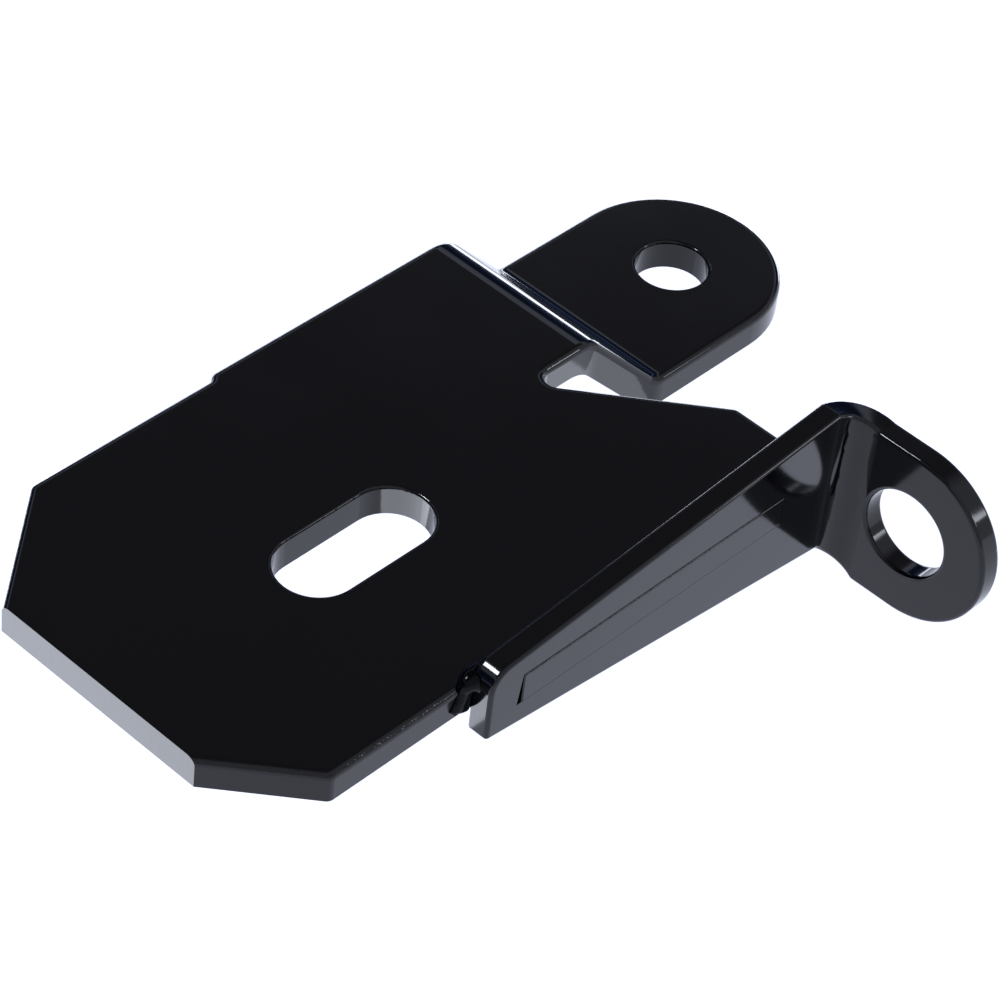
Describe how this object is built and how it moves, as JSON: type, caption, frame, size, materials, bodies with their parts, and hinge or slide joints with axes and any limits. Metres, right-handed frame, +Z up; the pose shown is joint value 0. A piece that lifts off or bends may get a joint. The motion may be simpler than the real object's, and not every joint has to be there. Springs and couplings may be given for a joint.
{
  "type": "mounting bracket",
  "caption": "Black-coated steel plate bracket with a slot, a V-shaped notch, a stepped-down round tab with a bolt hole, and a welded side arm bent out into a round ear.",
  "frame": {"origin": "centre of the bolt hole in the stepped-down tab, on the tab's underside", "axes": "+X along the plate from the cut-corner end to the round end of the tab; +Y across the plate, away from the side arm; +Z up, out of the plate's top face"},
  "size_m": [0.12, 0.0766, 0.0249],
  "materials": {
    "black_coat": "smooth glossy black electrophoretic coat over steel"
  },
  "bodies": {
    "root": {"main_plate": "black_coat", "side_bracket": "black_coat", "weld_bead": "black_coat"}
  },
  "joints": []
}
